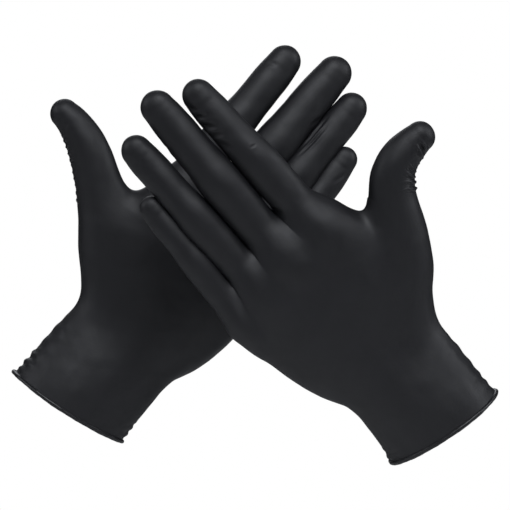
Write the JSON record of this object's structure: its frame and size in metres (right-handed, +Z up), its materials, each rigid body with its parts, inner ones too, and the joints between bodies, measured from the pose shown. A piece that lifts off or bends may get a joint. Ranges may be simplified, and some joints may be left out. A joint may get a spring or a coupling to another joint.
{
  "type": "pair of disposable gloves",
  "caption": "Pair of thin black disposable gloves in worn shape, crossed with their backs to the front; hollow film with rolled cuffs, folding at wrists, knuckles and thumbs.",
  "frame": {"origin": "centre of the box round both gloves as they are shown, crossed", "axes": "+Z up, +Y away from the viewer, who sees the backs of both gloves; +X to the viewer's right. The left glove is in front and leans left, the right glove is behind and leans right"},
  "size_m": [0.262, 0.1076, 0.2238],
  "materials": {
    "film": "satin black nitrile film, fine grain",
    "cuff_bead": "rolled rim of the same film, slightly darker"
  },
  "bodies": {
    "right_cuff": {"right_cuff_sleeve": "film", "right_cuff_bead": "cuff_bead"},
    "right_hand": {"right_hand_shell": "film"},
    "left_cuff": {"left_cuff_sleeve": "film", "left_cuff_bead": "cuff_bead"},
    "left_hand": {"left_hand_shell": "film"},
    "right_index_base": {"right_index_base": "film"},
    "right_index_middle": {"right_index_middle": "film"},
    "right_index_tip": {"right_index_tip": "film"},
    "right_middle_base": {"right_middle_base": "film"},
    "right_middle_middle": {"right_middle_middle": "film"},
    "right_middle_tip": {"right_middle_tip": "film"},
    "right_ring_base": {"right_ring_base": "film"},
    "right_ring_middle": {"right_ring_middle": "film"},
    "right_ring_tip": {"right_ring_tip": "film"},
    "right_little_base": {"right_little_base": "film"},
    "right_little_middle": {"right_little_middle": "film"},
    "right_little_tip": {"right_little_tip": "film"},
    "right_thumb_root": {"right_thumb_root": "film"},
    "right_thumb_end": {"right_thumb_end": "film"},
    "left_index_base": {"left_index_base": "film"},
    "left_index_middle": {"left_index_middle": "film"},
    "left_index_tip": {"left_index_tip": "film"},
    "left_middle_base": {"left_middle_base": "film"},
    "left_middle_middle": {"left_middle_middle": "film"},
    "left_middle_tip": {"left_middle_tip": "film"},
    "left_ring_base": {"left_ring_base": "film"},
    "left_ring_middle": {"left_ring_middle": "film"},
    "left_ring_tip": {"left_ring_tip": "film"},
    "left_little_base": {"left_little_base": "film"},
    "left_little_middle": {"left_little_middle": "film"},
    "left_little_tip": {"left_little_tip": "film"},
    "left_thumb_root": {"left_thumb_root": "film"},
    "left_thumb_end": {"left_thumb_end": "film"}
  },
  "joints": [
    {"name": "right_wrist_bend", "type": "hinge", "parent": "right_cuff", "child": "right_hand", "pos_m": [-0.07122, 0.02792, -0.04924], "axis": [-0.7912, 0, 0.6115], "range_deg": [-8, 60], "stiffness_Nm_per_rad": 0.002},
    {"name": "right_index_base_bend", "type": "hinge", "parent": "right_hand", "child": "right_index_base", "pos_m": [-0.02616, 0.02792, 0.04863], "axis": [-0.7912, 0, 0.6115], "range_deg": [-15, 60], "stiffness_Nm_per_rad": 0.0003},
    {"name": "right_index_middle_bend", "type": "hinge", "parent": "right_index_base", "child": "right_index_middle", "pos_m": [-0.00971, 0.03027, 0.06991], "axis": [-0.7912, 0, 0.6115], "range_deg": [-5, 85], "stiffness_Nm_per_rad": 0.0003},
    {"name": "right_index_tip_bend", "type": "hinge", "parent": "right_index_middle", "child": "right_index_tip", "pos_m": [0.00529, 0.03504, 0.08933], "axis": [-0.7912, 0, 0.6115], "range_deg": [-3.25, 55.25]},
    {"name": "right_middle_base_bend", "type": "hinge", "parent": "right_hand", "child": "right_middle_base", "pos_m": [-0.00671, 0.02792, 0.03423], "axis": [-0.7912, 0, 0.6115], "range_deg": [-15, 60], "stiffness_Nm_per_rad": 0.0003},
    {"name": "right_middle_middle_bend", "type": "hinge", "parent": "right_middle_base", "child": "right_middle_middle", "pos_m": [0.01218, 0.03062, 0.05866], "axis": [-0.7912, 0, 0.6115], "range_deg": [-5, 85], "stiffness_Nm_per_rad": 0.0003},
    {"name": "right_middle_tip_bend", "type": "hinge", "parent": "right_middle_middle", "child": "right_middle_tip", "pos_m": [0.02958, 0.03615, 0.08119], "axis": [-0.7912, 0, 0.6115], "range_deg": [-3.25, 55.25]},
    {"name": "right_ring_base_bend", "type": "hinge", "parent": "right_hand", "child": "right_ring_base", "pos_m": [0.00646, 0.02792, 0.0171], "axis": [-0.7912, 0, 0.6115], "range_deg": [-15, 60], "stiffness_Nm_per_rad": 0.0003},
    {"name": "right_ring_middle_bend", "type": "hinge", "parent": "right_ring_base", "child": "right_ring_middle", "pos_m": [0.02443, 0.03049, 0.04035], "axis": [-0.7912, 0, 0.6115], "range_deg": [-5, 85], "stiffness_Nm_per_rad": 0.0003},
    {"name": "right_ring_tip_bend", "type": "hinge", "parent": "right_ring_middle", "child": "right_ring_tip", "pos_m": [0.04124, 0.03583, 0.0621], "axis": [-0.7912, 0, 0.6115], "range_deg": [-3.25, 55.25]},
    {"name": "right_little_base_bend", "type": "hinge", "parent": "right_hand", "child": "right_little_base", "pos_m": [0.018, 0.02792, 0.00439], "axis": [-0.7965, 0, 0.6046], "range_deg": [-15, 60], "stiffness_Nm_per_rad": 0.0003},
    {"name": "right_little_middle_bend", "type": "hinge", "parent": "right_little_base", "child": "right_little_middle", "pos_m": [0.03005, 0.02966, 0.02026], "axis": [-0.7965, 0, 0.6046], "range_deg": [-5, 85], "stiffness_Nm_per_rad": 0.0003},
    {"name": "right_little_tip_bend", "type": "hinge", "parent": "right_little_middle", "child": "right_little_tip", "pos_m": [0.04192, 0.03347, 0.0359], "axis": [-0.7965, 0, 0.6046], "range_deg": [-3.25, 55.25]},
    {"name": "right_thumb_fold", "type": "hinge", "parent": "right_hand", "child": "right_thumb_root", "pos_m": [-0.0791, 0.03392, 0.01498], "axis": [-0.6115, 0, -0.7912], "range_deg": [-5, 55], "stiffness_Nm_per_rad": 0.0003},
    {"name": "right_thumb_bend", "type": "hinge", "parent": "right_thumb_root", "child": "right_thumb_end", "pos_m": [-0.08284, 0.02792, 0.05237], "axis": [0, 1, 0], "range_deg": [-5, 85], "stiffness_Nm_per_rad": 0.0003},
    {"name": "left_glove_lift", "type": "slide", "parent": "right_cuff", "child": "left_cuff", "axis": [0, -1, 0], "range_m": [0, 0.15]},
    {"name": "left_wrist_bend", "type": "hinge", "parent": "left_cuff", "child": "left_hand", "pos_m": [0.07708, -0.02608, -0.05955], "axis": [-0.7373, 0, -0.6756], "range_deg": [-50, 8], "stiffness_Nm_per_rad": 0.002},
    {"name": "left_index_base_bend", "type": "hinge", "parent": "left_hand", "child": "left_index_base", "pos_m": [0.02139, -0.04251, 0.03009], "axis": [-0.7373, 0, -0.6756], "range_deg": [-15, 40], "stiffness_Nm_per_rad": 0.0003},
    {"name": "left_index_middle_bend", "type": "hinge", "parent": "left_index_base", "child": "left_index_middle", "pos_m": [0.00319, -0.04439, 0.04995], "axis": [-0.7373, 0, -0.6756], "range_deg": [-5, 85], "stiffness_Nm_per_rad": 0.0003},
    {"name": "left_index_tip_bend", "type": "hinge", "parent": "left_index_middle", "child": "left_index_tip", "pos_m": [-0.01369, -0.04352, 0.06837], "axis": [-0.7373, 0, -0.6756], "range_deg": [-3.25, 55.25]},
    {"name": "left_middle_base_bend", "type": "hinge", "parent": "left_hand", "child": "left_middle_base", "pos_m": [0.00318, -0.04251, 0.0134], "axis": [-0.7657, -0.0068, -0.6432], "range_deg": [-15, 40], "stiffness_Nm_per_rad": 0.0003},
    {"name": "left_middle_middle_bend", "type": "hinge", "parent": "left_middle_base", "child": "left_middle_middle", "pos_m": [-0.0167, -0.04467, 0.03709], "axis": [-0.7657, -0.0068, -0.6432], "range_deg": [-5, 85], "stiffness_Nm_per_rad": 0.0003},
    {"name": "left_middle_tip_bend", "type": "hinge", "parent": "left_middle_middle", "child": "left_middle_tip", "pos_m": [-0.03535, -0.04365, 0.05928], "axis": [-0.7657, -0.0068, -0.6432], "range_deg": [-3.25, 55.25]},
    {"name": "left_ring_base_bend", "type": "hinge", "parent": "left_hand", "child": "left_ring_base", "pos_m": [-0.00904, -0.04157, -0.00583], "axis": [-0.7623, -0.006, -0.6471], "range_deg": [-15, 40], "stiffness_Nm_per_rad": 0.0003},
    {"name": "left_ring_middle_bend", "type": "hinge", "parent": "left_ring_base", "child": "left_ring_middle", "pos_m": [-0.02807, -0.04363, 0.01661], "axis": [-0.7623, -0.006, -0.6471], "range_deg": [-5, 85], "stiffness_Nm_per_rad": 0.0003},
    {"name": "left_ring_tip_bend", "type": "hinge", "parent": "left_ring_middle", "child": "left_ring_tip", "pos_m": [-0.04619, -0.04265, 0.03794], "axis": [-0.7623, -0.006, -0.6471], "range_deg": [-3.25, 55.25]},
    {"name": "left_little_base_bend", "type": "hinge", "parent": "left_hand", "child": "left_little_base", "pos_m": [-0.01824, -0.04079, -0.02096], "axis": [-0.7777, -0.0098, -0.6285], "range_deg": [-15, 40], "stiffness_Nm_per_rad": 0.0003},
    {"name": "left_little_middle_bend", "type": "hinge", "parent": "left_little_base", "child": "left_little_middle", "pos_m": [-0.03077, -0.04218, -0.00543], "axis": [-0.7777, -0.0098, -0.6285], "range_deg": [-5, 85], "stiffness_Nm_per_rad": 0.0003},
    {"name": "left_little_tip_bend", "type": "hinge", "parent": "left_little_middle", "child": "left_little_tip", "pos_m": [-0.04334, -0.04147, 0.01011], "axis": [-0.7777, -0.0098, -0.6285], "range_deg": [-3.25, 55.25]},
    {"name": "left_thumb_fold", "type": "hinge", "parent": "left_hand", "child": "left_thumb_root", "pos_m": [0.07796, -0.02767, 0.00684], "axis": [-0.6673, -0.1564, 0.7282], "range_deg": [-5, 55], "stiffness_Nm_per_rad": 0.0003},
    {"name": "left_thumb_bend", "type": "hinge", "parent": "left_thumb_root", "child": "left_thumb_end", "pos_m": [0.07007, -0.03846, 0.04005], "axis": [0.1057, -0.9877, -0.1153], "range_deg": [-5, 85], "stiffness_Nm_per_rad": 0.0003}
  ],
  "couplings": [
    {"joint": "right_index_tip_bend", "follows": "right_index_middle_bend", "ratio": 0.65},
    {"joint": "right_middle_tip_bend", "follows": "right_middle_middle_bend", "ratio": 0.65},
    {"joint": "right_ring_tip_bend", "follows": "right_ring_middle_bend", "ratio": 0.65},
    {"joint": "right_little_tip_bend", "follows": "right_little_middle_bend", "ratio": 0.65},
    {"joint": "left_index_tip_bend", "follows": "left_index_middle_bend", "ratio": 0.65},
    {"joint": "left_middle_tip_bend", "follows": "left_middle_middle_bend", "ratio": 0.65},
    {"joint": "left_ring_tip_bend", "follows": "left_ring_middle_bend", "ratio": 0.65},
    {"joint": "left_little_tip_bend", "follows": "left_little_middle_bend", "ratio": 0.65}
  ]
}
